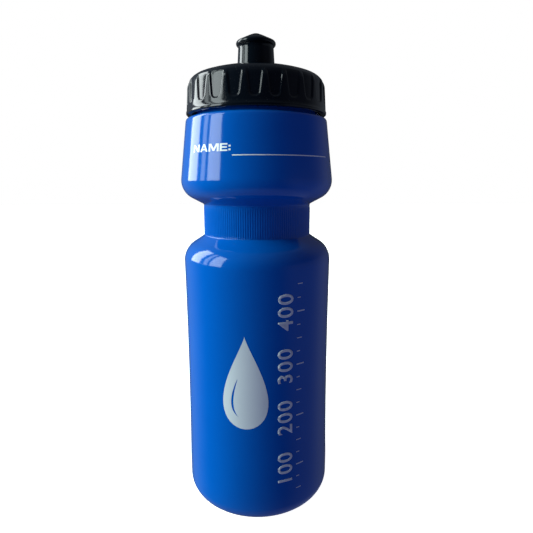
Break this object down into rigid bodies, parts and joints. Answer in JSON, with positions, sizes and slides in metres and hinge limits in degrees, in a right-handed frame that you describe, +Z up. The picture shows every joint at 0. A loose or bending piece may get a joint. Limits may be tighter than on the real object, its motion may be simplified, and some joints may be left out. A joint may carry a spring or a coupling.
{
  "type": "squeeze sports bottle",
  "caption": "Round squeeze sports bottle with a ribbed grip waist, a fluted screw cap and a push-pull nozzle.",
  "frame": {"origin": "centre of the standing ring, on the surface that the bottle stands on", "axes": "+Z up along the bottle's axis, -Y towards the printed front, +X to the right of someone who faces the front"},
  "size_m": [0.0738, 0.0738, 0.2309],
  "materials": {
    "bottle": "glossy blue squeeze plastic, slightly soft",
    "cap": "glossy black moulded plastic",
    "nozzle": "glossy black moulded plastic, softer than the cap",
    "seal": "pale grey soft foam rubber, satin",
    "ink_white": "white screen-printing ink, satin",
    "ink_silver": "silver-grey screen-printing ink, satin"
  },
  "bodies": {
    "bottle": {"bottle_body": "bottle"},
    "seal": {"seal_ring": "seal"},
    "cap": {"screw_cap": "cap"},
    "nozzle": {"push_pull_nozzle": "nozzle"}
  },
  "joints": [
    {"name": "cap_lift", "type": "slide", "parent": "bottle", "child": "seal", "axis": [0, 0, 1], "range_m": [0, 0.01501]},
    {"name": "cap_turn", "type": "hinge", "parent": "seal", "child": "cap", "pos_m": [0, 0, 0.198], "axis": [0, 0, 1], "range_deg": [0, 1080]},
    {"name": "nozzle_slide", "type": "slide", "parent": "cap", "child": "nozzle", "axis": [0, 0, 1], "range_m": [0, 0.007]}
  ],
  "couplings": [
    {"joint": "cap_lift", "follows": "cap_turn", "m_per_rad": 0.00079577}
  ]
}
